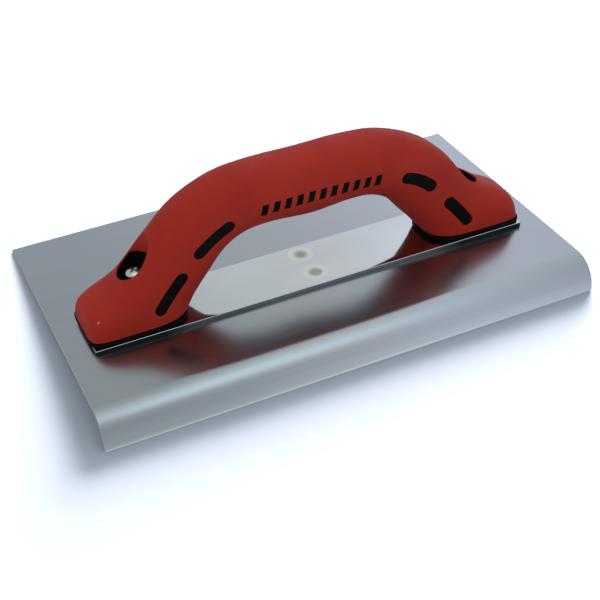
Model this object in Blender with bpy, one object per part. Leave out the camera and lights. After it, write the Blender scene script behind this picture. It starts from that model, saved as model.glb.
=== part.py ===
"""Concrete hand edger: a bent stainless blade, a welded mounting plate and a screwed-on soft-grip handle.

Frame: +X along the blade, +Y away from the lip, +Z up. The origin is on the blade's flat underside,
straight below the middle of the handle. All sizes below are in millimetres and become metres in build().
"""

import math

import bmesh
import bpy

MM = 0.001

# Blade: a 10 x 6 inch sheet with its near long edge bent down to a half-inch radius.
BLADE_LENGTH = 254.0
BLADE_DEPTH = 152.4
BLADE_THICKNESS = 1.2
EDGE_RADIUS = 12.7
LIP_STRAIGHT = 2.0
LIP_TO_HANDLE = 64.5
BEND_STEPS = 12

# The gap that keeps touching pieces apart.
GAP = 0.3

# Mounting plate: a flat bar under the whole handle.
PLATE_LENGTH = 228.6
PLATE_WIDTH = 35.5
PLATE_THICKNESS = 1.7
PLATE_BOTTOM = BLADE_THICKNESS + GAP
PLATE_TOP = PLATE_BOTTOM + PLATE_THICKNESS

# Sole: the black flange of the core that lies on the plate under each foot.
SOLE_OUTER_X = 115.2
SOLE_INNER_X = 65.0
SOLE_HALF_WIDTH = 17.5
SOLE_BOTTOM = PLATE_TOP + GAP
SOLE_THICKNESS = 1.9
SOLE_TOP = SOLE_BOTTOM + SOLE_THICKNESS
SOLE_SQUARENESS = (6.0, 3.2)

# Grip cover: stations from a foot to the crown, mirrored for the other side. Each row holds the outer
# outline's x and z, the inner outline's x and z, the half-width, and the squareness of the section's
# outer and inner halves (2 is an ellipse).
COVER_BOTTOM = SOLE_TOP + GAP
STATIONS = (
    (115.0, COVER_BOTTOM, 64.8, COVER_BOTTOM, 16.9, 5.0, 2.7),
    (115.7, 13.2, 62.6, 8.3, 16.6, 4.4, 2.7),
    (111.2, 18.1, 60.6, 10.7, 16.1, 3.4, 2.6),
    (95.5, 27.5, 57.0, 15.5, 15.3, 2.6, 2.5),
    (79.8, 44.0, 51.4, 21.9, 14.5, 2.4, 2.5),
    (64.2, 57.8, 43.1, 31.7, 14.7, 2.4, 2.5),
    (44.0, 66.4, 33.4, 37.2, 15.2, 2.4, 2.4),
    (24.0, 68.5, 20.2, 38.8, 15.8, 2.4, 2.4),
    (0.0, 68.2, 0.0, 37.5, 16.2, 2.4, 2.4),
)
OUTER_STEPS = 3
OUTER_POINTS = 24
INNER_STEPS = 2
INNER_POINTS = 20
COVER_WALL = 3.0
INSERT_RECESS = 0.3

# Slots through the cover's two sides, where the core shows: three points on the centreline of each.
SLOT_RADIUS = 3.0
SLOTS = (
    ((-80.4, 13.7), (-74.6, 20.4), (-68.5, 26.7)),
    ((-58.4, 37.3), (-51.3, 42.8), (-43.6, 47.4)),
    ((49.4, 46.4), (56.3, 43.1), (62.9, 37.9)),
    ((73.3, 25.6), (78.4, 19.6), (83.1, 13.2)),
)
SLOT_CUT_WIDTH = 60.0
SLOT_STEPS = 4
SLOT_END_STEPS = 5

# Screw pockets and fasteners, one set at each foot. The cover lines the pocket's upper part, and the core
# has a boss that lifts the screw's seat above the pocket's floor.
SCREW_X = 86.9
POCKET_RADIUS = 9.0
POCKET_LINER = 3.6
POCKET_FLOOR = 21.5
LINER_BOTTOM = 27.5
BOSS_RADIUS = 4.6
SEAT_HEIGHT = 25.8
POCKET_TOP = 60.0
SCREW_HOLE_RADIUS = 3.0
SHANK_RADIUS = 2.5
POINT_RADIUS = 1.8
POINT_LENGTH = 0.7
HEAD_RADIUS = 4.2
HEAD_HEIGHT = 3.2
HEAD_PROFILE = ((1.0, 0.0), (1.0, 0.3), (0.94, 0.6), (0.75, 0.85), (0.4, 1.0))
CROSS_LENGTH = 4.6
CROSS_WIDTH = 1.0
CROSS_DEPTH = 1.6
CROSS_TAPER = (0.55, 1.1)
NUT_RADIUS = 5.2
NUT_HEIGHT = 5.0
NUT_RECESS_CLEARANCE = 0.6

ROUND_SEGMENTS = 24
SHARP_ANGLE = math.radians(38)


def clear_scene():
    for item in list(bpy.data.objects):
        bpy.data.objects.remove(item, do_unlink=True)


def material(name, colour, roughness, metallic):
    mat = bpy.data.materials.new(name)
    mat.use_nodes = True
    shader = mat.node_tree.nodes["Principled BSDF"]
    shader.inputs["Base Color"].default_value = (*colour, 1.0)
    shader.inputs["Roughness"].default_value = roughness
    shader.inputs["Metallic"].default_value = metallic
    return mat


def finish_mesh(name, bm, mat=None):
    """Turns a bmesh in millimetres into a named object in metres."""
    bmesh.ops.scale(bm, vec=(MM, MM, MM), verts=bm.verts)
    bmesh.ops.recalc_face_normals(bm, faces=bm.faces)
    mesh = bpy.data.meshes.new(name)
    bm.to_mesh(mesh)
    bm.free()
    mesh.shade_smooth()
    mesh.set_sharp_from_angle(angle=SHARP_ANGLE)
    item = bpy.data.objects.new(name, mesh)
    bpy.context.scene.collection.objects.link(item)
    if mat:
        mesh.materials.append(mat)
    return item


def loft(name, rings, mat=None):
    """A closed body through rings of equal point counts, capped at both ends."""
    bm = bmesh.new()
    loops = [[bm.verts.new(point) for point in ring] for ring in rings]
    for low, high in zip(loops, loops[1:]):
        for i in range(len(low)):
            j = (i + 1) % len(low)
            bm.faces.new((low[i], low[j], high[j], high[i]))
    bm.faces.new(loops[0])
    bm.faces.new(loops[-1])
    return finish_mesh(name, bm, mat)


def prism_y(name, outline, half_width, mat=None):
    """Extrudes an outline of (x, z) points along Y, to both sides of the middle plane."""
    rings = [[(x, y, z) for x, z in outline] for y in (-half_width, half_width)]
    return loft(name, rings, mat)


def turned(name, profile, x, segments, mat=None, turn=0.0):
    """Turns a profile of (radius, z) about a vertical axis at x; the profile starts and ends off the axis."""
    rings = []
    for radius, z in profile:
        angles = [turn + 2 * math.pi * i / segments for i in range(segments)]
        rings.append([(x + radius * math.cos(a), radius * math.sin(a), z) for a in angles])
    return loft(name, rings, mat)


def as_cutter(item):
    item.hide_render = True
    item.display_type = "WIRE"
    return item


def boolean(item, operation, tool):
    step = item.modifiers.new(operation.lower(), "BOOLEAN")
    step.operation = operation
    step.solver = "EXACT"
    step.object = tool


def mirrored(x):
    return (-x, x)


# Handle sections


def spline_rows(rows, steps):
    """Catmull-Rom interpolation of equal-length rows of numbers."""
    result = []
    for k in range(len(rows) - 1):
        before = rows[max(k - 1, 0)]
        after = rows[min(k + 2, len(rows) - 1)]
        for step in range(steps):
            t = step / steps
            row = []
            for p0, p1, p2, p3 in zip(before, rows[k], rows[k + 1], after):
                linear = (p2 - p0) * t
                square = (2 * p0 - 5 * p1 + 4 * p2 - p3) * t * t
                cubic = (3 * p1 - p0 - 3 * p2 + p3) * t**3
                row.append(p1 + 0.5 * (linear + square + cubic))
            result.append(row)
    result.append(list(rows[-1]))
    return result


def handle_rows(steps):
    """All sections of the grip from the left foot to the right foot."""
    left = [(-ox, oz, -ix, iz, *rest) for ox, oz, ix, iz, *rest in STATIONS]
    return spline_rows(left + list(STATIONS[-2::-1]), steps)


def shifted(points, distance):
    """Moves an open outline sideways, to the right of its direction of travel."""
    result = []
    for k, (x, z) in enumerate(points):
        x0, z0 = points[max(k - 1, 0)]
        x1, z1 = points[min(k + 1, len(points) - 1)]
        length = math.hypot(x1 - x0, z1 - z0)
        result.append((x + (z1 - z0) / length * distance, z - (x1 - x0) / length * distance))
    return result


def section(outer, inner, half_width, outer_squareness, inner_squareness, count):
    """One closed section: a superellipse between an outer and an inner point of the side outline."""
    mid_x, mid_z = (outer[0] + inner[0]) / 2, (outer[1] + inner[1]) / 2
    arm_x, arm_z = (outer[0] - inner[0]) / 2, (outer[1] - inner[1]) / 2
    ring = []
    for i in range(count):
        angle = 2 * math.pi * i / count
        along, across = math.cos(angle), math.sin(angle)
        power = 2 / (outer_squareness if along > 0 else inner_squareness)
        reach = math.copysign(abs(along) ** power, along)
        side = math.copysign(abs(across) ** power, across)
        ring.append((mid_x + arm_x * reach, half_width * side, mid_z + arm_z * reach))
    return ring


def handle_rings(inset, bottom, steps, count):
    """Sections of the handle, shrunk by inset, with their ends brought down to a flat bottom."""
    rows = handle_rows(steps)
    outer = shifted([row[0:2] for row in rows], inset)
    inner = shifted([row[2:4] for row in rows], -inset)
    rings = []
    for row, out_point, in_point in zip(rows, outer, inner):
        rings.append(section(out_point, in_point, row[4] - inset, row[5], row[6], count))
    for end in (0, -1):
        rings[end] = [(x, y, bottom) for x, y, z in rings[end]]
    return rings


def slot_outline(centres, radius):
    """A rounded slot around a three-point centreline."""
    (x0, z0), (x1, z1), (x2, z2) = centres
    line = []
    for step in range(SLOT_STEPS + 1):
        t = step / SLOT_STEPS
        a, b, c = 2 * (t - 0.5) * (t - 1), -4 * t * (t - 1), 2 * t * (t - 0.5)
        line.append((a * x0 + b * x1 + c * x2, a * z0 + b * z1 + c * z2))
    right = shifted(line, radius)
    left = shifted(line, -radius)[::-1]
    return right + round_end(right[-1], left[0], radius) + left + round_end(left[-1], right[0], radius)


def round_end(start, end, radius):
    """The points of a half circle from start to end, both left out, turning counter-clockwise."""
    cx, cz = (start[0] + end[0]) / 2, (start[1] + end[1]) / 2
    first = math.atan2(start[1] - cz, start[0] - cx)
    angles = [first + math.pi * k / SLOT_END_STEPS for k in range(1, SLOT_END_STEPS)]
    return [(cx + radius * math.cos(a), cz + radius * math.sin(a)) for a in angles]


# Sub-parts


def build_blade(mat):
    """The bent sheet: its cross-section in Y and Z, extruded along X."""
    bend_y = EDGE_RADIUS + BLADE_THICKNESS - LIP_TO_HANDLE
    bend_z = -EDGE_RADIUS
    far_y = BLADE_DEPTH - LIP_TO_HANDLE
    lip_bottom = bend_z - LIP_STRAIGHT
    turns = [math.pi / 2 * (1 + k / BEND_STEPS) for k in range(BEND_STEPS + 1)]
    outside = EDGE_RADIUS + BLADE_THICKNESS
    profile = [(far_y, BLADE_THICKNESS)]
    profile += [(bend_y + outside * math.cos(a), bend_z + outside * math.sin(a)) for a in turns]
    profile += [(bend_y - outside, lip_bottom), (bend_y - EDGE_RADIUS, lip_bottom)]
    inside = [(bend_y + EDGE_RADIUS * math.cos(a), bend_z + EDGE_RADIUS * math.sin(a)) for a in turns]
    profile += inside[::-1] + [(far_y, 0.0)]
    rings = [[(x, y, z) for y, z in profile] for x in (-BLADE_LENGTH / 2, BLADE_LENGTH / 2)]
    return loft("blade", rings, mat)


def build_plate(mat):
    half_x, half_y = PLATE_LENGTH / 2, PLATE_WIDTH / 2
    corners = [(-half_x, -half_y), (half_x, -half_y), (half_x, half_y), (-half_x, half_y)]
    rings = [[(x, y, z) for x, y in corners] for z in (PLATE_BOTTOM, PLATE_TOP)]
    return loft("mounting_plate", rings, mat)


def build_slots(name, radius):
    """The four slot shapes as one guide body each, running right through the handle."""
    return [
        as_cutter(prism_y(f"{name}_{k}", slot_outline(centres, radius), SLOT_CUT_WIDTH / 2))
        for k, centres in enumerate(SLOTS)
    ]


def pocket_cutters(name, profile):
    """The same turned cutter at each screw."""
    return [
        as_cutter(turned(f"{name}_{k}", profile, x, ROUND_SEGMENTS))
        for k, x in enumerate(mirrored(SCREW_X))
    ]


def build_cover(mat):
    """The soft shell: the handle's outer shape less the core's space, slots and screw pockets."""
    cover = loft("grip_cover", handle_rings(0.0, COVER_BOTTOM, OUTER_STEPS, OUTER_POINTS), mat)
    cavity = as_cutter(loft("cavity", handle_rings(COVER_WALL, SOLE_BOTTOM, INNER_STEPS, INNER_POINTS)))
    liner_radius = POCKET_RADIUS + POCKET_LINER
    for liner in pocket_cutters("liner", [(liner_radius, LINER_BOTTOM), (liner_radius, POCKET_TOP)]):
        boolean(cavity, "DIFFERENCE", liner)
    boolean(cover, "DIFFERENCE", cavity)
    for pocket in pocket_cutters("pocket", [(POCKET_RADIUS, POCKET_FLOOR), (POCKET_RADIUS, POCKET_TOP)]):
        boolean(cover, "DIFFERENCE", pocket)
    for slot in build_slots("slot", SLOT_RADIUS):
        boolean(cover, "DIFFERENCE", slot)
    return cover


def sole_rings(side):
    outer, inner = (side * SOLE_OUTER_X, SOLE_BOTTOM), (side * SOLE_INNER_X, SOLE_BOTTOM)
    low = section(outer, inner, SOLE_HALF_WIDTH, *SOLE_SQUARENESS, INNER_POINTS)
    return [low, [(x, y, SOLE_TOP) for x, y, z in low]]


def build_core(mat):
    """The hard core: a thinner handle with a sole under each foot and inserts that fill the slots."""
    inner_rings = handle_rings(COVER_WALL + GAP, SOLE_TOP, INNER_STEPS, INNER_POINTS)
    core = loft("handle_core", sole_rings(-1) + inner_rings + sole_rings(1)[::-1], mat)
    for k, slot in enumerate(build_slots("insert", SLOT_RADIUS - GAP)):
        form = loft(f"insert_form_{k}", handle_rings(INSERT_RECESS, SOLE_TOP, OUTER_STEPS, OUTER_POINTS))
        boolean(slot, "INTERSECT", as_cutter(form))
        boolean(core, "UNION", slot)
    clearing_radius = POCKET_RADIUS + POCKET_LINER + GAP
    clearing = [
        (BOSS_RADIUS, SEAT_HEIGHT),
        (BOSS_RADIUS, POCKET_FLOOR),
        (POCKET_RADIUS, POCKET_FLOOR),
        (POCKET_RADIUS, LINER_BOTTOM - GAP),
        (clearing_radius, LINER_BOTTOM - GAP),
        (clearing_radius, POCKET_TOP),
    ]
    recess = NUT_RADIUS + NUT_RECESS_CLEARANCE
    recess_top = SOLE_BOTTOM + NUT_HEIGHT + NUT_RECESS_CLEARANCE
    bore = [
        (recess, PLATE_TOP),
        (recess, recess_top),
        (SCREW_HOLE_RADIUS, recess_top + GAP),
        (SCREW_HOLE_RADIUS, POCKET_TOP),
    ]
    for cutter in pocket_cutters("clearing", clearing) + pocket_cutters("screw_bore", bore):
        boolean(core, "DIFFERENCE", cutter)
    return core


def build_screw(name, x, mat):
    """A pan-head screw with a cross recess, standing on the core's seat and reaching into its nut."""
    base = SEAT_HEIGHT + GAP
    point = SOLE_BOTTOM + GAP
    profile = [(POINT_RADIUS, point), (SHANK_RADIUS, point + POINT_LENGTH), (SHANK_RADIUS, base)]
    profile += [(HEAD_RADIUS * across, base + HEAD_HEIGHT * up) for across, up in HEAD_PROFILE]
    screw = turned(name, profile, x, ROUND_SEGMENTS, mat)
    for k, turn in enumerate((0.0, math.pi / 2)):
        boolean(screw, "DIFFERENCE", cross_bar(f"{name}_cross_{k}", x, turn, base + HEAD_HEIGHT))
    return screw


def cross_bar(name, x, turn, top):
    """One arm pair of the cross recess: a bar that tapers downwards."""
    ux, uy = math.cos(turn), math.sin(turn)
    rings = []
    for z, scale in zip((top - CROSS_DEPTH, top + 1.0), CROSS_TAPER):
        half_l, half_w = CROSS_LENGTH / 2 * scale, CROSS_WIDTH / 2 * scale
        corners = [(-half_l, -half_w), (half_l, -half_w), (half_l, half_w), (-half_l, half_w)]
        rings.append([(x + u * ux - v * uy, u * uy + v * ux, z) for u, v in corners])
    return as_cutter(loft(name, rings))


def build_nut(name, x, mat):
    """A hexagonal weld nut on the mounting plate, around the end of the screw."""
    nut = turned(name, [(NUT_RADIUS, SOLE_BOTTOM), (NUT_RADIUS, SOLE_BOTTOM + NUT_HEIGHT)], x, 6, mat)
    hole = [(SHANK_RADIUS + GAP, PLATE_TOP), (SHANK_RADIUS + GAP, SOLE_BOTTOM + NUT_HEIGHT + 1.0)]
    boolean(nut, "DIFFERENCE", as_cutter(turned(f"{name}_hole", hole, x, ROUND_SEGMENTS)))
    return nut


def build():
    clear_scene()
    stainless = material("stainless_steel", (0.52, 0.54, 0.55), 0.28, 1.0)
    polished = material("polished_steel", (0.70, 0.72, 0.72), 0.12, 1.0)
    red_rubber = material("red_rubber", (0.33, 0.02, 0.018), 0.55, 0.0)
    black_plastic = material("black_plastic", (0.012, 0.012, 0.012), 0.5, 0.0)
    zinc = material("zinc_steel", (0.75, 0.75, 0.72), 0.25, 1.0)
    plain_steel = material("plain_steel", (0.40, 0.40, 0.40), 0.4, 1.0)
    build_blade(stainless)
    build_plate(polished)
    build_core(black_plastic)
    build_cover(red_rubber)
    for side, x in zip(("left", "right"), mirrored(SCREW_X)):
        build_screw(f"screw_{side}", x, zinc)
        build_nut(f"weld_nut_{side}", x, plain_steel)


build()
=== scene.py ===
"""Looks of the concrete hand edger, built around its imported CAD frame.

Frame: +X along the blade, +Y away from the bent lip, +Z up. The origin is on the blade's flat underside,
straight below the middle of the handle. Lengths are millimetres until a mesh or a light is made.
"""

import math

import bmesh
import bpy
from mathutils import Matrix, Vector
from mathutils.bvhtree import BVHTree


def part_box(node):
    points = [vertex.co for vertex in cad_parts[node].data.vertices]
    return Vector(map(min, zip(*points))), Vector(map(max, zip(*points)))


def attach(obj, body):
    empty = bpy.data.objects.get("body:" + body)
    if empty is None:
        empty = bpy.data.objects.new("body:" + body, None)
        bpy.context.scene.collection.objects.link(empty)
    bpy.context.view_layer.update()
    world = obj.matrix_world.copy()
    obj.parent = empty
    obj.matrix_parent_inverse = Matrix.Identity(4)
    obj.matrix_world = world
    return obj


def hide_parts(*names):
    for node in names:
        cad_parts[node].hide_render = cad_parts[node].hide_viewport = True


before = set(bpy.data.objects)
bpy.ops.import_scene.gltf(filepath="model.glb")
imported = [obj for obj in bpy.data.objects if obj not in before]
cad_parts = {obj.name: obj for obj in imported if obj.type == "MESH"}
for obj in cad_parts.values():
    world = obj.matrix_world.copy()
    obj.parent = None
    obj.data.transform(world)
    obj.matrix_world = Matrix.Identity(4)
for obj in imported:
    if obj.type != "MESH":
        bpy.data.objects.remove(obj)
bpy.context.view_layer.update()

MM = 0.001
BODY = "root"
GAP = 0.3
SMOOTH_ANGLE = math.radians(42)
BEVEL_ANGLE = math.radians(35)
BEVEL_SEGMENTS = 3
MERGE_DISTANCE = 0.004

# Blade
BLADE_BOTTOM = 0.0
EDGE_RADIUS = 12.7
BEND_STEPS = 48
BLADE_BEVEL = 0.28

# Mounting plate and its two spot welds. The plate's top edges are rounded by PLATE_ROUND and its bottom
# edges by PLATE_FOOT_ROUND, PLATE_SEAT above the blade. The mesh is fine within WELD_REACH of the welds.
PLATE_ROUND = 0.25
PLATE_FOOT_ROUND = 0.08
PLATE_ROUND_STEPS = 4
PLATE_SEAT = 0.04
PLATE_CELL = 0.45
WELD_X = 1.8
WELD_Y = (-7.6, 9.8)
WELD_REACH = 6.4
DIMPLE_DEPTH, DIMPLE_RADIUS, DIMPLE_EDGE = 0.08, 3.1, 0.35
SWELL_HEIGHT, SWELL_RADIUS, SWELL_WIDTH = 0.02, 4.2, 0.8

# Handle: stations from a foot to the crown, mirrored for the other side. They are the CAD's, but the feet
# are nearer the photo. Each row holds the outer outline's x and z, the inner outline's x and z, the
# half-width, and the squareness of the section's outer and inner halves (2 is an ellipse).
COVER_BOTTOM = 5.7
STATIONS = (
    (115.3, COVER_BOTTOM, 64.8, COVER_BOTTOM, 16.9, 6.5, 2.9),
    (114.4, 13.2, 62.6, 8.3, 16.6, 4.4, 2.8),
    (110.2, 18.3, 60.6, 10.7, 16.1, 3.3, 2.6),
    (95.5, 27.5, 57.0, 15.5, 15.3, 2.6, 2.5),
    (79.8, 44.0, 51.4, 21.9, 14.5, 2.4, 2.5),
    (64.2, 57.8, 43.1, 31.7, 14.7, 2.4, 2.5),
    (44.0, 66.4, 33.4, 37.2, 15.2, 2.4, 2.4),
    (24.0, 68.5, 20.2, 38.8, 15.8, 2.4, 2.4),
    (0.0, 68.2, 0.0, 37.5, 16.2, 2.4, 2.4),
)
OUTER_STEPS = 10
OUTER_COUNT = 104
INNER_STEPS = 4
INNER_COUNT = 48
COVER_WALL = 3.0
RIM_ROUND = 0.3
RIM_MIDDLE = 0.3  # a rounded rim's middle ring: distance from the side and from the flat face, as a share
# Parting line: (distance to its side, height) of the moulding ridge in the handle's middle plane.
SEAM = ((-0.55, 0.0), (-0.22, 0.02), (-0.08, 0.05), (0.08, 0.05), (0.22, 0.02), (0.55, 0.0))

# Black band under the arch, on the handle's own grid: the columns it takes in on each side of the middle,
# the rings it leaves out at each end, and how far it stands out of the grip and goes into it.
BAND_COLUMNS = 8
BAND_START = 53
BAND_RISE, BAND_DEPTH = 0.12, 0.8

# Slots through the cover's two sides: three points on the centreline of each.
SLOT_RADIUS = 3.0
SLOTS = (
    ((-80.4, 13.7), (-74.6, 20.4), (-68.5, 26.7)),
    ((-58.4, 37.3), (-51.3, 42.8), (-43.6, 47.4)),
    ((49.4, 46.4), (56.3, 43.1), (62.9, 37.9)),
    ((73.3, 25.6), (78.4, 19.6), (83.1, 13.2)),
)
SLOT_STEPS = 14
SLOT_END_STEPS = 12
# Rounded rims: (growth of the outline, height above the grip's surface) from outside to inside.
SLOT_RIM = ((1.1, 3.0), (0.45, 0.14), (0.16, -0.13), (0.0, -0.5))
INSERT_FACE = (
    (-2.7, -0.16),
    (-1.8, -0.16),
    (-0.9, -0.18),
    (-0.3, -0.22),
    (-0.08, -0.34),
    (0.0, -0.6),
    (0.0, -4.0),
)

# Row of plain slanted bars let into the near side of the grip. The row sags away from BAR_SAG_X. A face or
# pocket is a list of (share of the outline, height above the grip's surface).
BAR_COUNT = 11
BAR_FIRST_X, BAR_LAST_X = -25.6, 33.2
BAR_WIDTH, BAR_HEIGHT, BAR_SLANT = 3.1, 5.4, 1.3
BAR_MIDDLE_Z, BAR_SAG, BAR_SAG_X = 52.3, 0.0014, -4.0
BAR_EDGE_STEPS = 6
BAR_FACE = ((0.0, 0.03), (0.5, 0.03), (0.9, 0.03), (1.0, -0.04), (1.0, -0.7))
BAR_POCKET = ((0.0, 2.0), (1.04, 2.0), (1.04, -0.9))

# Screw pockets and fasteners, one set at each foot. MOUTHS holds the x and the radius of each mouth.
SCREW_X = 86.9
POCKET_RADIUS = 9.0
MOUTHS = {"left": (-86.4, 8.4), "right": (86.9, 9.2)}
SLEEVE_CLEARANCE = 0.02
SLEEVE_WALL = 0.5
SLEEVE_TOP = 34.0
SLEEVE_BELOW_RIM = 1.3
POCKET_RIM = ((0.7, 4.0), (0.45, 0.2), (0.16, -0.18), (0.0, -0.6))
POCKET_LINER = 3.6
POCKET_FLOOR = 21.5
LINER_BOTTOM = 33.0
BOSS_RADIUS = 4.6
SEAT_HEIGHT = 25.8
POCKET_TOP = 60.0
POCKET_SEGMENTS = 72
SCREW_HOLE_RADIUS = 3.0
SHANK_RADIUS = 2.5
POINT_RADIUS = 1.8
POINT_LENGTH = 0.7
HEAD_RADIUS = 4.2
HEAD_HEIGHT = 3.2
HEAD_BREAK = 0.25
HEAD_STEPS = 9
HEAD_RIM = 0.32  # share of the head's height below its dome
HEAD_FULLNESS = 0.62  # less than 1 makes the dome's shoulder fuller than a circle's
HEAD_TIP = 0.02
SCREW_SEGMENTS = 64
CROSS_LENGTH, CROSS_WIDTH = 4.7, 1.05
# Levels of the cross recess: height over the head's top, share of the length, share of the width.
CROSS_LEVELS = ((-1.9, 0.35, 0.55), (-0.3, 0.9, 1.0), (1.0, 1.3, 1.25))
SCREW_TURNS = (0.62, 1.25)
NUT_SIDES = 6
NUT_RADIUS = 5.2
NUT_HEIGHT = 5.0
NUT_CHAMFER = 0.5
NUT_HOLE_OVERRUN = 1
NUT_RECESS_CLEARANCE = 0.6

# Sole under each foot
SOLE_OUTER_X = 115.6
SOLE_INNER_X = 65.5
SOLE_HALF_WIDTH = 17.5
SOLE_SQUARENESS = (7.0, 3.7)
SOLE_TOP = 5.4

# Gate mark: the small pale dot that moulding leaves at the foot of the grip.
GATE_X, GATE_Z = -109.8, 15.2
GATE_RADIUS, GATE_RISE, GATE_ROOT, GATE_TIP = 0.62, 0.12, 0.3, 0.001
GATE_SHOULDER = 0.7
GATE_SEGMENTS = 16

# Where rays towards the grip's skin start from, well clear of it
RAY_SIDE, RAY_ABOVE = 80, 120


def node_box(name):
    low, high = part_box(name)
    return low / MM, high / MM


blade_low, blade_high = node_box("blade")
plate_low, plate_high = node_box("mounting_plate")
SOLE_BOTTOM = plate_high.z + GAP


# Node materials. Object coordinates are in metres; these bring a distance into a ramp's 0 to 1.
DM_IN_METRE, CM_IN_METRE, MM_IN_METRE = 10.0, 100.0, 1000.0
# How far the rings of heat tint wander, in metres.
HEAT_WANDER = 0.0018


class Shade:
    """A material under construction: its nodes are added in a row and linked by name."""

    def __init__(self, name):
        self.material = bpy.data.materials.new(name)
        self.material.use_nodes = True
        self.tree = self.material.node_tree
        self.shader = self.tree.nodes["Principled BSDF"]
        self.place = self.add("ShaderNodeTexCoord").outputs["Object"]

    def add(self, kind, **inputs):
        node = self.tree.nodes.new(kind)
        for key, value in inputs.items():
            self.put(node.inputs[key.replace("_", " ")], value)
        return node

    def put(self, socket, value):
        if isinstance(value, bpy.types.NodeSocket):
            self.tree.links.new(value, socket)
        else:
            socket.default_value = value

    def set(self, **inputs):
        for key, value in inputs.items():
            self.put(self.shader.inputs[key.replace("_", " ")], value)

    def stretched(self, x, y, z):
        """Coordinates that count x, y and z cells to the metre along the three axes."""
        mapping = self.add("ShaderNodeMapping", Vector=self.place, Scale=(x, y, z))
        return mapping.outputs["Vector"]

    def noise(self, place, detail=3.0, roughness=0.55):
        node = self.add("ShaderNodeTexNoise", Vector=place, Scale=1.0, Detail=detail, Roughness=roughness)
        return node.outputs["Fac"]

    def ramp(self, value, *stops):
        """Colours or grey levels along value: each stop is (place, colour or level)."""
        node = self.add("ShaderNodeValToRGB", Fac=value)
        elements = node.color_ramp.elements
        while len(elements) < len(stops):
            elements.new(0.5)
        for element, (place, level) in zip(elements, stops):
            colour = level if isinstance(level, tuple) else (level, level, level)
            element.position = place
            element.color = (*colour, 1.0)
        return node.outputs["Color"]

    def math(self, operation, *values):
        node = self.tree.nodes.new("ShaderNodeMath")
        node.operation = operation
        for socket, value in zip(node.inputs, values):
            self.put(socket, value)
        return node.outputs["Value"]

    def mix(self, factor, first, second):
        node = self.tree.nodes.new("ShaderNodeMix")
        node.data_type = "RGBA"
        self.put(node.inputs[0], factor)
        self.put(node.inputs[6], first)
        self.put(node.inputs[7], second)
        return node.outputs[2]

    def bump(self, height, strength, distance, normal=None):
        node = self.add("ShaderNodeBump", Height=height, Strength=strength, Distance=distance)
        if normal:
            self.put(node.inputs["Normal"], normal)
        return node.outputs["Normal"]


def satin_steel():
    """Rolled stainless sheet: fine grain along the blade, faint clouding and a few long hairlines."""
    s = Shade("satin_steel")
    grain = s.noise(s.stretched(14, 1500, 1500), detail=4.0)
    cloud = s.noise(s.stretched(18, 26, 26), detail=3.0)
    hairline = s.noise(s.stretched(3, 420, 420), detail=1.0)
    tone = s.mix(0.35, s.ramp(grain, (0.3, 0.40), (0.7, 0.60)), s.ramp(cloud, (0.3, 0.42), (0.7, 0.58)))
    colour = s.ramp(tone, (0.36, (0.315, 0.33, 0.34)), (0.64, (0.36, 0.375, 0.385)))
    rough = s.mix(0.5, s.ramp(grain, (0.25, 0.20), (0.75, 0.28)), s.ramp(cloud, (0.3, 0.21), (0.7, 0.27)))
    streak = s.ramp(hairline, (0.70, 0.0), (0.74, 1.0))
    normal = s.bump(grain, 0.07, 0.00002)
    normal = s.bump(streak, 0.03, 0.00002, normal)
    s.set(Base_Color=colour, Roughness=rough, Metallic=1.0, Normal=normal)
    return s.material


def heat_tinted(s, colour):
    """The plate's colour with rings of heat tint round each weld, by ragged distance in centimetres."""
    for weld_y in WELD_Y:
        centre = (WELD_X * MM, weld_y * MM, plate_high.z * MM)
        measure = s.add("ShaderNodeVectorMath", Vector=s.place)
        measure.operation = "DISTANCE"
        measure.inputs[1].default_value = centre
        ripple = s.noise(s.stretched(380, 380, 380))
        ragged = s.math("MULTIPLY_ADD", ripple, HEAT_WANDER, measure.outputs["Value"])
        heat = s.ramp(
            s.math("MULTIPLY", ragged, CM_IN_METRE),
            (0.0, (0.34, 0.31, 0.24)),
            (0.24, (0.29, 0.27, 0.205)),
            (0.38, (0.38, 0.365, 0.315)),
            (0.48, (0.525, 0.53, 0.525)),
            (0.62, (0.555, 0.56, 0.56)),
            (0.80, (0.50, 0.515, 0.52)),
        )
        inside = s.ramp(s.math("MULTIPLY", ragged, CM_IN_METRE), (0.70, 1.0), (0.82, 0.0))
        colour = s.mix(inside, colour, heat)
    return colour


def bright_steel():
    """Mounting plate: polish, faint rubbing marks, weld heat tint, duller sheared edges with painted shade.
    """
    s = Shade("bright_steel")
    rub = s.noise(s.stretched(25, 900, 900), detail=4.0)
    smear = s.noise(s.stretched(30, 45, 45), detail=2.0)
    colour = s.ramp(smear, (0.3, (0.475, 0.49, 0.495)), (0.7, (0.515, 0.53, 0.535)))
    colour = heat_tinted(s, colour)
    height = s.add("ShaderNodeSeparateXYZ", Vector=s.place).outputs["Z"]
    below_top = s.math("MULTIPLY", s.math("SUBTRACT", plate_high.z * MM, height), MM_IN_METRE)
    sheared = s.ramp(below_top, (0.12, 0.0), (0.24, 1.0))
    along = s.add("ShaderNodeSeparateXYZ", Vector=s.place).outputs["X"]
    from_middle = s.math("MULTIPLY", s.math("ABSOLUTE", along), DM_IN_METRE)
    # Side colour: duller sheared steel between the feet, with painted shade to near black under them.
    sheared_and_shaded = s.ramp(
        from_middle,
        (0.20, (0.23, 0.25, 0.25)),
        (0.62, (0.15, 0.165, 0.165)),
        (0.80, (0.022, 0.024, 0.024)),
    )
    colour = s.mix(sheared, colour, sheared_and_shaded)
    rough = s.mix(sheared, s.ramp(rub, (0.3, 0.06), (0.7, 0.11)), (0.35, 0.35, 0.35, 1.0))
    s.set(Base_Color=colour, Roughness=rough, Metallic=1.0, Normal=s.bump(rub, 0.04, 0.00001))
    return s.material


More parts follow.
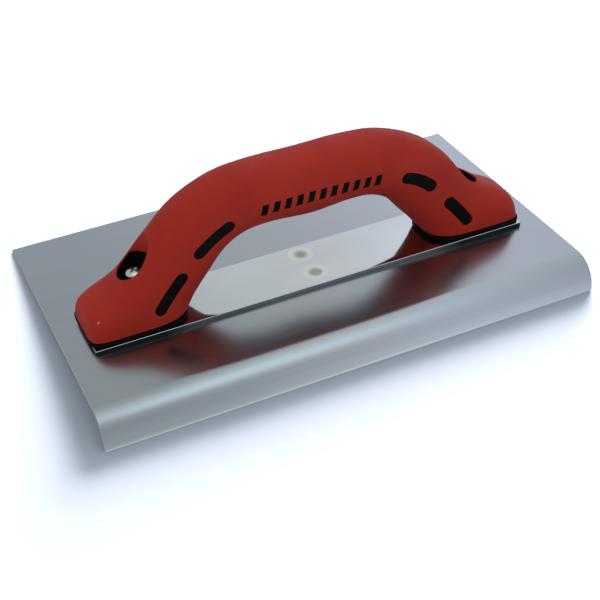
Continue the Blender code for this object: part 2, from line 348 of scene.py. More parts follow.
def red_rubber():
    """Matte overmoulded grip: fine moulded grain, uneven tone and lighter rubbed patches."""
    s = Shade("red_rubber")
    grain = s.noise(s.stretched(2600, 2600, 2600), detail=2.0)
    blotch = s.noise(s.stretched(34, 34, 34), detail=4.0, roughness=0.6)
    wear = s.noise(s.stretched(60, 60, 60), detail=5.0, roughness=0.7)
    body = s.ramp(blotch, (0.32, (0.258, 0.0135, 0.0052)), (0.68, (0.316, 0.018, 0.0076)))
    body = s.mix(s.ramp(wear, (0.60, 0.0), (0.78, 0.35)), body, (0.35, 0.032, 0.017, 1.0))
    body = s.mix(s.ramp(grain, (0.35, 0.22), (0.60, 0.0)), body, (0.18, 0.005, 0.004, 1.0))
    rough = s.ramp(wear, (0.35, 0.66), (0.75, 0.54))
    normal = s.bump(grain, 0.30, 0.00006)
    s.set(Base_Color=body, Roughness=rough, Normal=normal, Specular_IOR_Level=0.14)
    return s.material


def black_plastic():
    """Hard moulded core: near black, with a fine spark-eroded texture."""
    s = Shade("black_plastic")
    grain = s.noise(s.stretched(1900, 1900, 1900), detail=3.0)
    dust = s.noise(s.stretched(90, 90, 90), detail=5.0, roughness=0.7)
    colour = s.ramp(dust, (0.40, (0.0016, 0.0019, 0.0019)), (0.80, (0.0055, 0.0058, 0.0062)))
    rough = s.ramp(grain, (0.3, 0.42), (0.7, 0.58))
    s.set(Base_Color=colour, Roughness=rough, Normal=s.bump(grain, 0.25, 0.00005), Specular_IOR_Level=0.03)
    return s.material


def zinc_steel():
    """Bright zinc-plated screws: pale, slightly warm, with plating spangle."""
    s = Shade("zinc_steel")
    spangle = s.noise(s.stretched(700, 700, 700), detail=4.0)
    colour = s.ramp(spangle, (0.3, (0.46, 0.46, 0.43)), (0.7, (0.62, 0.62, 0.585)))
    rough = s.ramp(spangle, (0.3, 0.17), (0.7, 0.30))
    s.set(Base_Color=colour, Roughness=rough, Metallic=1.0, Normal=s.bump(spangle, 0.12, 0.00004))
    return s.material


def plain_steel():
    """Oiled steel weld nuts."""
    s = Shade("plain_steel")
    scale = s.noise(s.stretched(500, 500, 500), detail=5.0)
    colour = s.ramp(scale, (0.3, (0.28, 0.27, 0.26)), (0.7, (0.44, 0.43, 0.42)))
    rough = s.ramp(scale, (0.3, 0.34), (0.7, 0.52))
    s.set(Base_Color=colour, Roughness=rough, Metallic=1.0, Normal=s.bump(scale, 0.2, 0.00005))
    return s.material


def gate_resin():
    """Stretched, paler rubber where the gate was torn off."""
    s = Shade("gate_resin")
    grain = s.noise(s.stretched(3000, 3000, 3000))
    s.set(Base_Color=s.ramp(grain, (0.3, (0.36, 0.07, 0.06)), (0.7, (0.42, 0.10, 0.085))), Roughness=0.6)
    return s.material


def pale_floor():
    s = Shade("pale_floor")
    mottle = s.noise(s.stretched(3, 3, 3), detail=2.0)
    s.set(Base_Color=s.ramp(mottle, (0.3, (0.36, 0.375, 0.415)), (0.7, (0.37, 0.385, 0.425))), Roughness=0.9)
    s.set(Specular_IOR_Level=0.1)
    return s.material


# Mesh building


def ring_loft(rings, cap=True):
    """A bmesh skin through rings of equal point counts. Without caps, points that meet are merged."""
    bm = bmesh.new()
    loops = [[bm.verts.new(point) for point in ring] for ring in rings]
    for low, high in zip(loops, loops[1:]):
        for i in range(len(low)):
            j = (i + 1) % len(low)
            bm.faces.new((low[i], low[j], high[j], high[i]))
    if cap:
        bm.faces.new(loops[0])
        bm.faces.new(loops[-1])
    else:
        bmesh.ops.remove_doubles(bm, verts=bm.verts, dist=MERGE_DISTANCE)
    bmesh.ops.recalc_face_normals(bm, faces=bm.faces)
    return bm


def to_object(name, bm, mat=None):
    """An object in metres from a bmesh in millimetres."""
    bmesh.ops.scale(bm, vec=(MM, MM, MM), verts=bm.verts)
    mesh = bpy.data.meshes.new(name)
    bm.to_mesh(mesh)
    bm.free()
    item = bpy.data.objects.new(name, mesh)
    bpy.context.scene.collection.objects.link(item)
    if mat:
        mesh.materials.append(mat)
    return item


def evaluated(item):
    """Puts the result of item's modifiers into its mesh."""
    shaped = bpy.data.meshes.new_from_object(item.evaluated_get(bpy.context.evaluated_depsgraph_get()))
    item.modifiers.clear()
    item.data = shaped


def combine(item, operation, tools):
    """Cuts tools away from item, joins them to it or keeps what they share, then deletes the tools."""
    for tool in tools:
        step = item.modifiers.new(operation.lower(), "BOOLEAN")
        step.operation = operation
        step.solver = "EXACT"
        step.object = tool
    evaluated(item)
    for tool in tools:
        bpy.data.objects.remove(tool, do_unlink=True)
    return item


def bevelled(item, width):
    step = item.modifiers.new("edges", "BEVEL")
    step.width = width * MM
    step.segments = BEVEL_SEGMENTS
    step.limit_method = "ANGLE"
    step.angle_limit = BEVEL_ANGLE
    evaluated(item)


def add_piece(item, nodes=()):
    """Smooths item's shading, hangs it on the root body and hides the CAD parts it stands for."""
    item.data.shade_smooth()
    item.data.set_sharp_from_angle(angle=SMOOTH_ANGLE)
    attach(item, BODY)
    if nodes:
        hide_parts(*nodes)
    return item


def circle(radius, segments, x=0.0, z=0.0):
    angles = [math.tau * i / segments for i in range(segments)]
    return [(x + radius * math.cos(a), radius * math.sin(a), z) for a in angles]


def turned(profile, x, segments):
    """A skin turned about a vertical axis at x from (radius, z) pairs."""
    return ring_loft([circle(radius, segments, x, z) for radius, z in profile])


# Handle surface


def spline_rows(rows, steps):
    """Catmull-Rom interpolation of equal-length rows of numbers."""
    result = []
    for k in range(len(rows) - 1):
        before = rows[max(k - 1, 0)]
        after = rows[min(k + 2, len(rows) - 1)]
        for step in range(steps):
            t = step / steps
            row = []
            for p0, p1, p2, p3 in zip(before, rows[k], rows[k + 1], after):
                linear = (p2 - p0) * t
                square = (2 * p0 - 5 * p1 + 4 * p2 - p3) * t * t
                cubic = (3 * p1 - p0 - 3 * p2 + p3) * t**3
                row.append(p1 + 0.5 * (linear + square + cubic))
            result.append(row)
    result.append(list(rows[-1]))
    return result


def handle_rows(steps):
    """All sections of the grip from the left foot to the right foot."""
    left = [(-ox, oz, -ix, iz, *rest) for ox, oz, ix, iz, *rest in STATIONS]
    return spline_rows(left + list(STATIONS[-2::-1]), steps)


def shifted(points, distance):
    """Moves an open outline sideways, to the right of its direction of travel."""
    result = []
    for k, (x, z) in enumerate(points):
        x0, z0 = points[max(k - 1, 0)]
        x1, z1 = points[min(k + 1, len(points) - 1)]
        length = math.hypot(x1 - x0, z1 - z0)
        result.append((x + (z1 - z0) / length * distance, z - (x1 - x0) / length * distance))
    return result


def squashed(value, power):
    return math.copysign(abs(value) ** power, value)


def section_shape(squareness, half_width, arm, count, seam):
    """(reach, side) pairs round a section. Reach is 1 at the crown and -1 underneath."""
    pairs = []
    for i in range(count):
        angle = math.tau * i / count
        outside = math.cos(angle) > 0
        power = 2 / squareness[0 if outside else 1]
        if seam and i in (0, count // 2):
            sign = 1 if outside else -1
            for offset, rise in SEAM:
                side = sign * offset / half_width
                reach = (1 - abs(side) ** (2 / power)) ** (power / 2)
                pairs.append((sign * (reach + rise / arm), side))
        else:
            pairs.append((squashed(math.cos(angle), power), squashed(math.sin(angle), power)))
    return pairs


def section(outer, inner, half_width, squareness, count, seam=False):
    """One closed section: a superellipse between an outer and an inner point of the side outline."""
    mid_x, mid_z = (outer[0] + inner[0]) / 2, (outer[1] + inner[1]) / 2
    arm_x, arm_z = (outer[0] - inner[0]) / 2, (outer[1] - inner[1]) / 2
    shape = section_shape(squareness, half_width, math.hypot(arm_x, arm_z), count, seam)
    return [(mid_x + arm_x * reach, half_width * side, mid_z + arm_z * reach) for reach, side in shape]


def handle_rings(inset, bottom, steps, count, seam=False):
    """Sections of the handle, shrunk by inset, with their ends brought down to a flat bottom."""
    rows = handle_rows(steps)
    outer = shifted([row[0:2] for row in rows], inset)
    inner = shifted([row[2:4] for row in rows], -inset)
    rings = []
    for row, out_point, in_point in zip(rows, outer, inner):
        rings.append(section(out_point, in_point, row[4] - inset, row[5:7], count, seam))
    for end in (0, -1):
        rings[end] = [(x, y, bottom) for x, y, z in rings[end]]
    return rings


def shrunk(ring, distance, z):
    """The ring drawn in by about distance towards its middle, at height z."""
    mid_x = sum(p[0] for p in ring) / len(ring)
    mid_y = sum(p[1] for p in ring) / len(ring)
    result = []
    for x, y, _ in ring:
        reach = math.hypot(x - mid_x, y - mid_y)
        scale = (reach - distance) / reach
        result.append((mid_x + (x - mid_x) * scale, mid_y + (y - mid_y) * scale, z))
    return result


def grip_rings():
    """The grip's outer skin, with its bottom rims rounded."""
    rings = handle_rings(0.0, COVER_BOTTOM + RIM_ROUND, OUTER_STEPS, OUTER_COUNT, seam=True)
    middle = RIM_ROUND * RIM_MIDDLE
    steps = ((RIM_ROUND, COVER_BOTTOM), (middle, COVER_BOTTOM + middle))
    first = [shrunk(rings[0], distance, z) for distance, z in steps]
    last = [shrunk(rings[-1], distance, z) for distance, z in steps[::-1]]
    return first + rings + last


class Skin:
    """The grip's uncut outer surface, which every inlaid shape follows."""

    def __init__(self):
        bm = ring_loft(handle_rings(0.0, COVER_BOTTOM, OUTER_STEPS, OUTER_COUNT))
        self.tree = BVHTree.FromBMesh(bm)
        bm.free()

    def side(self, x, z, sign):
        """Y of the surface at (x, z), on the side that sign says."""
        hit = self.tree.ray_cast(Vector((x, sign * RAY_SIDE, z)), Vector((0, -sign, 0)))
        return hit[0].y

    def top(self, x, y):
        """Height of the surface at (x, y), seen from above."""
        return self.tree.ray_cast(Vector((x, y, RAY_ABOVE)), Vector((0, 0, -1)))[0].z

    def near(self, x, z):
        """Point and normal of the near side at (x, z)."""
        hit = self.tree.ray_cast(Vector((x, -RAY_SIDE, z)), Vector((0, 1, 0)))
        return hit[0], hit[1]


def slot_outline(centres, radius):
    """A rounded slot around a three-point centreline."""
    (x0, z0), (x1, z1), (x2, z2) = centres
    line = []
    for step in range(SLOT_STEPS + 1):
        t = step / SLOT_STEPS
        a, b, c = 2 * (t - 0.5) * (t - 1), -4 * t * (t - 1), 2 * t * (t - 0.5)
        line.append((a * x0 + b * x1 + c * x2, a * z0 + b * z1 + c * z2))
    right = shifted(line, radius)
    left = shifted(line, -radius)[::-1]
    angle = math.atan2(right[-1][1] - line[-1][1], right[-1][0] - line[-1][0])
    back = math.atan2(left[-1][1] - line[0][1], left[-1][0] - line[0][0])
    ends = []
    for centre, first in ((line[-1], angle), (line[0], back)):
        turns = [first + math.pi * k / SLOT_END_STEPS for k in range(1, SLOT_END_STEPS)]
        ends.append([(centre[0] + radius * math.cos(a), centre[1] + radius * math.sin(a)) for a in turns])
    return right + ends[0] + left + ends[1]


def through_rings(skin, centres, base_radius, steps):
    """Rings of a body that runs through the handle along Y and follows the skin on both sides."""
    rings = {}
    for sign in (-1, 1):
        rings[sign] = []
        for growth, height in steps:
            outline = slot_outline(centres, base_radius + growth)
            rings[sign].append([(x, sign * height + skin.side(x, z, sign), z) for x, z in outline])
    return rings[-1] + rings[1][::-1]


def slot_cutters(skin):
    """The bodies that cut the slots out of the cover."""
    cutters = []
    for k, centres in enumerate(SLOTS):
        rings = through_rings(skin, centres, SLOT_RADIUS, SLOT_RIM)
        cutters.append(to_object(f"slot_{k}", ring_loft(rings)))
    return cutters


def insert_bodies(skin):
    """The core's inserts that fill the slots to just under the skin."""
    inserts = []
    for k, centres in enumerate(SLOTS):
        rings = through_rings(skin, centres, SLOT_RADIUS - GAP, INSERT_FACE)
        inserts.append(to_object(f"insert_{k}", ring_loft(rings, cap=False)))
    return inserts


def mirrored(x):
    return (-x, x)


def pocket_cutters(name, profile):
    """The same turned body round both screws."""
    places = enumerate(mirrored(SCREW_X))
    return [to_object(f"{name}_{k}", turned(profile, x, POCKET_SEGMENTS)) for k, x in places]


def rimmed_pockets(skin):
    """Screw pockets whose rims are rounded where they meet the sloping skin."""
    cutters = []
    for side, (x, radius) in MOUTHS.items():
        rings = [circle(radius, POCKET_SEGMENTS, x, POCKET_FLOOR)]
        for growth, height in POCKET_RIM[::-1]:
            flat = circle(radius + growth, POCKET_SEGMENTS, x)
            rings.append([(px, py, skin.top(px, py) + height) for px, py, _ in flat])
        cutters.append(to_object(f"pocket_{side}", ring_loft(rings)))
    return cutters


# Marks on the grip


def bar_outline(x, scale):
    """A slanted bar's outline as (x, z) pairs, drawn in towards its middle by scale."""
    middle_z = BAR_MIDDLE_Z - BAR_SAG * (x - BAR_SAG_X) ** 2
    half_w, half_h = BAR_WIDTH / 2 * scale, BAR_HEIGHT / 2 * scale
    slant = BAR_SLANT / 2 * scale
    low = ((-half_w - slant, -half_h), (half_w - slant, -half_h))
    corners = low + tuple((-u, -v) for u, v in low)
    outline = []
    for k, (u, v) in enumerate(corners):
        u1, v1 = corners[(k + 1) % len(corners)]
        for step in range(BAR_EDGE_STEPS):
            t = step / BAR_EDGE_STEPS
            outline.append((x + u + (u1 - u) * t, middle_z + v + (v1 - v) * t))
    return outline


def bar_places():
    pitch = (BAR_LAST_X - BAR_FIRST_X) / (BAR_COUNT - 1)
    return [BAR_FIRST_X + pitch * k for k in range(BAR_COUNT)]


def bar_body(skin, x, steps):
    """A bar that follows the skin: rings of (share of the outline, height), closed at a point behind."""
    rings = []
    for scale, height in steps:
        rings.append([(px, skin.side(px, pz, -1) - height, pz) for px, pz in bar_outline(x, scale)])
    back = rings[-1]
    middle_x, middle_z = (sum(point[axis] for point in back) / len(back) for axis in (0, 2))
    rings.append([(middle_x, back[0][1], middle_z)] * len(back))
    return ring_loft(rings, cap=False)


def merged(name, meshes):
    """One object from several bmeshes."""
    total = bmesh.new()
    for bm in meshes:
        part = bpy.data.meshes.new("part")
        bm.to_mesh(part)
        bm.free()
        total.from_mesh(part)
        bpy.data.meshes.remove(part)
    return to_object(name, total)


# Sub-parts


def build_blade(mat):
    """The bent sheet, with its cut edges slightly broken."""
    thickness = blade_high.z - BLADE_BOTTOM
    outside = EDGE_RADIUS + thickness
    bend_y = blade_low.y + outside
    bend_z = -EDGE_RADIUS
    turns = [math.pi / 2 * (1 + k / BEND_STEPS) for k in range(BEND_STEPS + 1)]
    profile = [(blade_high.y, thickness)]
    profile += [(bend_y + outside * math.cos(a), bend_z + outside * math.sin(a)) for a in turns]
    profile += [(blade_low.y, blade_low.z), (blade_low.y + thickness, blade_low.z)]
    inside = [(bend_y + EDGE_RADIUS * math.cos(a), bend_z + EDGE_RADIUS * math.sin(a)) for a in turns]
    profile += inside[::-1] + [(blade_high.y, BLADE_BOTTOM)]
    rings = [[(x, y, z) for y, z in profile] for x in (blade_low.x, blade_high.x)]
    blade = to_object("bent_blade", ring_loft(rings), mat)
    bevelled(blade, BLADE_BEVEL)
    return add_piece(blade, ["blade"])


def weld_height(x, y):
    """Height of the plate's surface around a spot weld: a shallow dimple in a slight swelling."""
    height = 0.0
    for weld_y in WELD_Y:
        away = math.hypot(x - WELD_X, y - weld_y)
        height -= DIMPLE_DEPTH / (1 + math.exp((away - DIMPLE_RADIUS) / DIMPLE_EDGE))
        height += SWELL_HEIGHT * math.exp(-(((away - SWELL_RADIUS) / SWELL_WIDTH) ** 2))
    return height


def grid_lines(low, high, fine_low, fine_high):
    """Coordinates from low to high that are close together between fine_low and fine_high."""
    count = max(2, math.ceil((fine_high - fine_low) / PLATE_CELL))
    fine = [fine_low + (fine_high - fine_low) * k / count for k in range(count + 1)]
    return ([low] if low < fine_low else []) + fine + ([high] if high > fine_high else [])


def build_plate(mat):
    """The mounting plate, with rounded edges and a dimple at each spot weld, down on the blade."""
    low, high, top_round, foot_round = plate_low, plate_high, PLATE_ROUND, PLATE_FOOT_ROUND
    seat = low.z - GAP + PLATE_SEAT
    xs = grid_lines(low.x + top_round, high.x - top_round, WELD_X - WELD_REACH, WELD_X + WELD_REACH)
    ys = grid_lines(low.y + top_round, high.y - top_round, WELD_Y[0] - WELD_REACH, WELD_Y[1] + WELD_REACH)
    bm = bmesh.new()
    grid = [[bm.verts.new((x, y, high.z + weld_height(x, y))) for y in ys] for x in xs]
    for a, b in zip(grid, grid[1:]):
        for j in range(len(ys) - 1):
            bm.faces.new((a[j], b[j], b[j + 1], a[j + 1]))
    border = grid[0][:-1] + [column[-1] for column in grid[:-1]] + grid[-1][:0:-1]
    border += [column[0] for column in grid[:0:-1]]
    quarter = [math.pi / 2 * k / PLATE_ROUND_STEPS for k in range(1, PLATE_ROUND_STEPS + 1)]
    steps = []
    for a in quarter:
        steps.append((top_round * math.sin(a), high.z - top_round * (1 - math.cos(a))))
    for a in [0.0] + quarter:
        steps.append((top_round - foot_round * (1 - math.cos(a)), seat + foot_round * (1 - math.sin(a))))
    loop = border
    for reach, z in steps:
        ring = []
        for vert in border:
            x, y = vert.co.x, vert.co.y
            out_x = reach if x >= xs[-1] else -reach if x <= xs[0] else 0.0
            out_y = reach if y >= ys[-1] else -reach if y <= ys[0] else 0.0
            ring.append(bm.verts.new((x + out_x, y + out_y, z)))
        for i in range(len(ring)):
            j = (i + 1) % len(ring)
            bm.faces.new((loop[i], loop[j], ring[j], ring[i]))
        loop = ring
    bm.faces.new(loop)
    bmesh.ops.recalc_face_normals(bm, faces=bm.faces)
    return add_piece(to_object("mounting_bar", bm, mat), ["mounting_plate"])


def build_grip(skin, mat):
    """The red overmould: outer skin less the core's space, the slots, the pockets and the bars' recesses."""
    cavity = to_object("cavity", ring_loft(handle_rings(COVER_WALL, SOLE_BOTTOM, INNER_STEPS, INNER_COUNT)))
    liner_radius = POCKET_RADIUS + POCKET_LINER
    liners = pocket_cutters("liner", [(liner_radius, LINER_BOTTOM), (liner_radius, POCKET_TOP)])
    combine(cavity, "DIFFERENCE", liners)
    bars = merged("bar_pockets", [bar_body(skin, x, BAR_POCKET) for x in bar_places()])
    grip = to_object("soft_grip", ring_loft(grip_rings()), mat)
    combine(grip, "DIFFERENCE", [cavity] + rimmed_pockets(skin) + slot_cutters(skin) + [bars])
    return add_piece(grip, ["grip_cover"])


def sole_rings(side):
    """The sole's rings from below to above, with both rims rounded."""
    outer, inner = (side * SOLE_OUTER_X, 0.0), (side * SOLE_INNER_X, 0.0)
    full = section(outer, inner, SOLE_HALF_WIDTH, SOLE_SQUARENESS, INNER_COUNT)
    middle = RIM_ROUND * RIM_MIDDLE
    steps = ((RIM_ROUND, 0.0), (middle, middle), (0.0, RIM_ROUND))
    low = [shrunk(full, inset, SOLE_BOTTOM + rise) for inset, rise in steps]
    high = [shrunk(full, inset, SOLE_TOP - rise) for inset, rise in steps[::-1]]
    return low + high


def build_core(skin, mat):
    """The black core: a thinner handle, a sole under each foot, the slots' inserts and the screw seats."""
    inner = handle_rings(COVER_WALL + GAP, SOLE_TOP, INNER_STEPS, INNER_COUNT)
    core = to_object("hard_core", ring_loft(sole_rings(-1) + inner + sole_rings(1)[::-1]), mat)
    combine(core, "UNION", insert_bodies(skin))
    clearing_radius = POCKET_RADIUS + POCKET_LINER + GAP
    clearing = [
        (BOSS_RADIUS - RIM_ROUND, SEAT_HEIGHT),
        (BOSS_RADIUS, SEAT_HEIGHT - RIM_ROUND),
        (BOSS_RADIUS, POCKET_FLOOR),
        (POCKET_RADIUS, POCKET_FLOOR),
        (POCKET_RADIUS, LINER_BOTTOM - GAP),
        (clearing_radius, LINER_BOTTOM - GAP),
        (clearing_radius, POCKET_TOP),
    ]
    recess = NUT_RADIUS + NUT_RECESS_CLEARANCE
    recess_top = SOLE_BOTTOM + NUT_HEIGHT + NUT_RECESS_CLEARANCE
    bore = [
        (recess, plate_high.z),
        (recess, recess_top),
        (SCREW_HOLE_RADIUS, recess_top + GAP),
        (SCREW_HOLE_RADIUS, POCKET_TOP),
    ]
    combine(core, "DIFFERENCE", pocket_cutters("clearing", clearing) + pocket_cutters("bore", bore))
    return add_piece(core, ["handle_core"])


def build_shade_sleeves(skin, mat):
    """Black wall in each screw pocket, below the cover's rim and SLEEVE_TOP: part core, part painted shade.
    """
    sleeves = []
    for side, (x, radius) in MOUTHS.items():
        rings = []
        for wall_radius in (radius - SLEEVE_CLEARANCE, radius - SLEEVE_WALL):
            low = circle(wall_radius, POCKET_SEGMENTS, x, POCKET_FLOOR + GAP)
            tops = [min(skin.top(px, py) - SLEEVE_BELOW_RIM, SLEEVE_TOP) for px, py, _ in low]
            high = [(px, py, z) for (px, py, _), z in zip(low, tops)]
            rings += [low, high] if not rings else [high, low]
        sleeve = to_object(f"pocket_shade_sleeve_{side}", ring_loft(rings + rings[:1], cap=False), mat)
        sleeves.append(add_piece(sleeve))
    return sleeves


def build_underside(mat):
    """The black band under the arch: a strip just proud of the grip, where the core is taken to show."""
    middle = OUTER_COUNT // 2
    columns = slice(middle - BAND_COLUMNS, middle + BAND_COLUMNS + 1)
    levels = [handle_rings(inset, SOLE_TOP, OUTER_STEPS, OUTER_COUNT) for inset in (-BAND_RISE, BAND_DEPTH)]
    rings = [out[columns] + deep[columns][::-1] for out, deep in zip(*levels)]
    band = to_object("arch_band", ring_loft(rings[BAND_START:-BAND_START]), mat)
    return add_piece(band)


def build_bars(skin, mat):
    bars = []
    for k, x in enumerate(bar_places()):
        bar = to_object(f"grip_bar_{k + 1}", bar_body(skin, x, BAR_FACE), mat)
        bars.append(add_piece(bar))
    return bars


def build_gate(skin, mat):
    """The torn gate mark, a low dome on the skin."""
    point, normal = skin.near(GATE_X, GATE_Z)
    shoulder = (GATE_RADIUS * GATE_SHOULDER, GATE_RISE * GATE_SHOULDER)
    profile = [(GATE_RADIUS, -GATE_ROOT), (GATE_RADIUS, 0.0), shoulder, (GATE_TIP, GATE_RISE)]
    bm = turned(profile, 0.0, GATE_SEGMENTS)
    turn = normal.to_track_quat("Z", "Y").to_matrix().to_4x4()
    bm.transform(Matrix.Translation(point) @ turn)
    return add_piece(to_object("gate_mark", bm, mat))


def cross_bar(name, x, turn, top):
    """One arm pair of the cross recess, tapering downwards."""
    ux, uy = math.cos(turn), math.sin(turn)
    rings = []
    for rise, long, wide in CROSS_LEVELS:
        half_l, half_w = CROSS_LENGTH / 2 * long, CROSS_WIDTH / 2 * wide
        corners = [(-half_l, -half_w), (half_l, -half_w), (half_l, half_w), (-half_l, half_w)]
        rings.append([(x + u * ux - v * uy, u * uy + v * ux, top + rise) for u, v in corners])
    return to_object(name, ring_loft(rings))


def build_screw(side, x, turn, mat):
    """A pan-head screw with a cross recess."""
    base = SEAT_HEIGHT + GAP
    point = SOLE_BOTTOM + GAP
    profile = [(POINT_RADIUS, point), (SHANK_RADIUS, point + POINT_LENGTH), (SHANK_RADIUS, base)]
    profile += [(HEAD_RADIUS - HEAD_BREAK, base), (HEAD_RADIUS, base + HEAD_BREAK)]
    for k in range(HEAD_STEPS + 1):
        angle = math.pi / 2 * k / HEAD_STEPS
        across = HEAD_RADIUS * math.cos(angle) ** HEAD_FULLNESS
        rise = HEAD_RIM + (1 - HEAD_RIM) * math.sin(angle)
        profile.append((max(across, HEAD_TIP), base + HEAD_HEIGHT * rise))
    screw = to_object(f"pan_screw_{side}", turned(profile, x, SCREW_SEGMENTS), mat)
    arms = []
    for k in range(2):
        arms.append(cross_bar(f"cross_{side}_{k}", x, turn + math.pi / 2 * k, base + HEAD_HEIGHT))
    combine(screw, "DIFFERENCE", arms)
    return add_piece(screw, [f"screw_{side}"])


def build_nut(side, x, mat):
    """A hexagonal weld nut with broken corners."""
    low, high = SOLE_BOTTOM, SOLE_BOTTOM + NUT_HEIGHT
    profile = [(NUT_RADIUS - NUT_CHAMFER, low), (NUT_RADIUS, low + NUT_CHAMFER)]
    profile += [(NUT_RADIUS, high - NUT_CHAMFER), (NUT_RADIUS - NUT_CHAMFER, high)]
    nut = to_object(f"hex_nut_{side}", turned(profile, x, NUT_SIDES), mat)
    radius = SHANK_RADIUS + GAP
    hole_ends = [(radius, low - NUT_HOLE_OVERRUN), (radius, high + NUT_HOLE_OVERRUN)]
    hole = turned(hole_ends, x, SCREW_SEGMENTS)
    combine(nut, "DIFFERENCE", [to_object(f"nut_hole_{side}", hole)])
    return add_piece(nut, [f"weld_nut_{side}"])


# Stage. The camera, the lamps and the clip distances are in metres, the floor in millimetres.

CAMERA_PLACE = (-0.20145, -0.46088, 0.35126)
CAMERA_RIGHT = (0.90579193, -0.4216563, -0.04179647)
CAMERA_DOWN = (-0.28056488, -0.52291894, -0.80488454)
CAMERA_FORWARD = (0.31752848, 0.74078454, -0.59195771)
CAMERA_SENSOR = 36.0
CAMERA_LENS = 73.75
CAMERA_CLIP = (0.01, 50.0)
FLOOR_HALF = 4000
FLOOR_DROP = 0.1
LAMP_DISTANCE = 4.0
LAMP_SIZE, LAMP_POWER = 2.2, 26.0
FLOOR_LAMP_SIZE, FLOOR_LAMP_POWER = 2.3, 1060.0

# Light tent. Each ramp is (place, colour or level) along one axis of the direction looked in: the walls
# along X, the overhead strip along X, how much of the strip shows along Y, and the shade of both along Z.
TENT_WALLS = (
    (-0.8, (0.79, 0.82, 0.85)),
    (-0.15, (0.79, 0.84, 0.87)),
    (0.12, (0.80, 0.92, 0.93)),
    (0.24, (1.08, 1.16, 1.18)),
    (0.36, (1.09, 1.13, 1.14)),
    (0.46, (1.28, 1.40, 1.51)),
    (0.60, (1.37, 1.49, 1.62)),
    (0.85, (0.79, 0.83, 0.87)),
)
TENT_STRIP = (
    (-0.3, (0.84, 0.95, 1.01)),
    (-0.05, (1.81, 2.15, 2.29)),
    (0.2, (1.81, 2.15, 2.29)),
    (0.36, (1.74, 2.06, 2.29)),
    (0.48, (1.49, 1.68, 1.95)),
    (0.8, (0.73, 0.78, 0.82)),
)
STRIP_ACROSS = (
    (-0.84, 0.0),
    (-0.70, 0.0),
    (-0.60, 0.25),
    (-0.47, 0.8),
    (-0.31, 1.0),
    (-0.16, 0.9),
    (0.06, 0.45),
    (0.30, 0.20),
    (0.50, 0.0),
    (0.70, 0.0),
)
TENT_HEIGHT = (
    (-1.0, 1.0),
    (-0.6, 1.0),
    (-0.1, (0.86, 0.86, 0.93)),
    (0.3, (0.81, 0.79, 0.89)),
    (0.58, 0.84),
    (1.0, 0.84),
)
# A ramp holds nothing over 1, so its colours are divided by this and the background is multiplied by it.
TENT_PEAK = 2.4


def build_camera():
    data = bpy.data.cameras.new("camera")
    data.sensor_width = CAMERA_SENSOR
    data.lens = CAMERA_LENS
    data.clip_start, data.clip_end = CAMERA_CLIP
    camera = bpy.data.objects.new("camera", data)
    bpy.context.scene.collection.objects.link(camera)
    right, down, forward = Vector(CAMERA_RIGHT), Vector(CAMERA_DOWN), Vector(CAMERA_FORWARD)
    rotation = Matrix((right, -down, -forward)).transposed().to_4x4()
    camera.matrix_world = Matrix.Translation(CAMERA_PLACE) @ rotation
    bpy.context.scene.camera = camera


def build_floor():
    """A pale floor just under the lip's lower edge and the blade's far edge; it doesn't light the object."""
    slope = (BLADE_BOTTOM - blade_low.z) / (blade_high.y - blade_low.y)
    half = FLOOR_HALF
    bm = bmesh.new()
    corners = [(-half, -half), (half, -half), (half, half), (-half, half)]
    bm.faces.new([bm.verts.new((x, y, (y - blade_high.y) * slope - FLOOR_DROP)) for x, y in corners])
    floor = to_object("floor", bm, pale_floor())
    floor.visible_glossy = False
    floor.visible_diffuse = False
    return floor


def gathered(name, items):
    """A collection for light linking; it isn't part of the scene's own tree."""
    group = bpy.data.collections.new(name)
    for item in items:
        group.objects.link(item)
    return group


def area_light(name, direction, size, power, colour, only_on=(), shaded_by=()):
    """A square soft light from a direction, which the metal doesn't mirror; it can be kept to some things."""
    data = bpy.data.lights.new(name, "AREA")
    data.size = size
    data.energy = power
    data.color = colour
    light = bpy.data.objects.new(name, data)
    light.visible_glossy = False
    bpy.context.scene.collection.objects.link(light)
    if only_on:
        light.light_linking.receiver_collection = gathered(f"{name}_receivers", only_on)
    if shaded_by:
        light.light_linking.blocker_collection = gathered(f"{name}_blockers", shaded_by)
    away = Vector(direction).normalized()
    turn = away.to_track_quat("Z", "Y").to_matrix().to_4x4()
    light.matrix_world = Matrix.Translation(away * LAMP_DISTANCE) @ turn


def world_ramp(tree, value, stops, peak=1.0):
    """A smooth ramp of colours or levels over a coordinate that runs from -1 to 1."""
    span = tree.nodes.new("ShaderNodeMapRange")
    span.inputs["From Min"].default_value = -1.0
    tree.links.new(value, span.inputs["Value"])
    ramp = tree.nodes.new("ShaderNodeValToRGB")
    tree.links.new(span.outputs["Result"], ramp.inputs["Fac"])
    ramp.color_ramp.interpolation = "B_SPLINE"
    elements = ramp.color_ramp.elements
    while len(elements) < len(stops):
        elements.new(0.5)
    for element, (place, level) in zip(elements, stops):
        colour = [part / peak for part in (level if isinstance(level, tuple) else [level] * 3)]
        element.position = (place + 1) / 2
        element.color = (*colour, 1.0)
    return ramp.outputs["Color"]


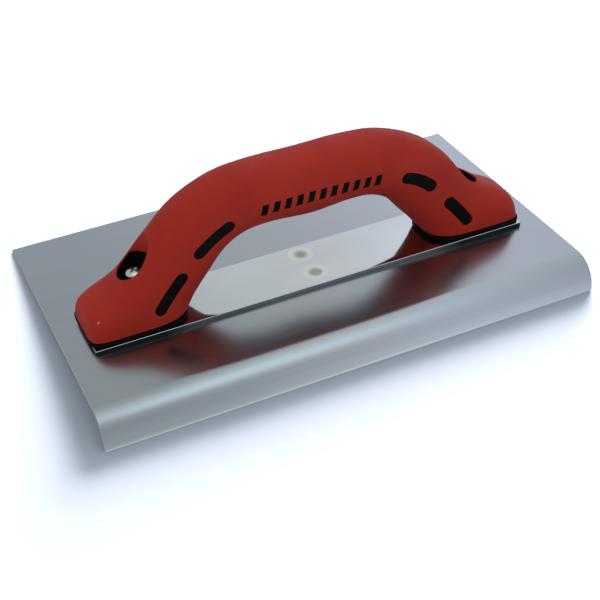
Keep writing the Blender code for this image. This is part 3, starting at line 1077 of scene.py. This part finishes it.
def build_world():
    """A light tent: walls that change along X, and a bright strip overhead, nearer the camera's side."""
    world = bpy.data.worlds.new("studio")
    bpy.context.scene.world = world
    world.use_nodes = True
    tree = world.node_tree
    place = tree.nodes.new("ShaderNodeTexCoord").outputs["Generated"]
    split = tree.nodes.new("ShaderNodeSeparateXYZ")
    tree.links.new(place, split.inputs["Vector"])
    blend = tree.nodes.new("ShaderNodeMix")
    blend.data_type = "RGBA"
    tree.links.new(world_ramp(tree, split.outputs["Y"], STRIP_ACROSS), blend.inputs[0])
    tree.links.new(world_ramp(tree, split.outputs["X"], TENT_WALLS, TENT_PEAK), blend.inputs[6])
    tree.links.new(world_ramp(tree, split.outputs["X"], TENT_STRIP, TENT_PEAK), blend.inputs[7])
    shade = tree.nodes.new("ShaderNodeVectorMath")
    shade.operation = "MULTIPLY"
    tree.links.new(blend.outputs[2], shade.inputs[0])
    tree.links.new(world_ramp(tree, split.outputs["Z"], TENT_HEIGHT), shade.inputs[1])
    tree.links.new(shade.outputs["Vector"], tree.nodes["Background"].inputs["Color"])
    tree.nodes["Background"].inputs["Strength"].default_value = TENT_PEAK


def build_stage(blade, handle):
    """Camera, floor and light. The floor's own light throws the blade's shadow only, as in the photo."""
    build_camera()
    floor = build_floor()
    build_world()
    white = (1.0, 1.0, 1.0)
    area_light("floor_light", (0.55, 0.66, 0.40), FLOOR_LAMP_SIZE, FLOOR_LAMP_POWER, white, [floor], [blade])
    area_light("key", (0.45, 0.50, 0.74), LAMP_SIZE, LAMP_POWER, (1.0, 0.99, 0.97))
    area_light("front", (-0.60, -0.42, 0.68), LAMP_SIZE, LAMP_POWER, (1.0, 0.99, 1.0), handle)
    bpy.context.scene.view_settings.view_transform = "Standard"


def build_object():
    """Builds every piece; returns the blade and the pieces of the handle."""
    skin = Skin()
    black = black_plastic()
    blade = build_blade(satin_steel())
    build_plate(bright_steel())
    handle = [build_grip(skin, red_rubber()), build_core(skin, black), build_gate(skin, gate_resin())]
    handle += [build_underside(black)] + build_shade_sleeves(skin, black) + build_bars(skin, black)
    zinc, steel = zinc_steel(), plain_steel()
    for side, x, turn in zip(("left", "right"), mirrored(SCREW_X), SCREW_TURNS):
        handle.append(build_screw(side, x, turn, zinc))
        build_nut(side, x, steel)
    return blade, handle


build_stage(*build_object())
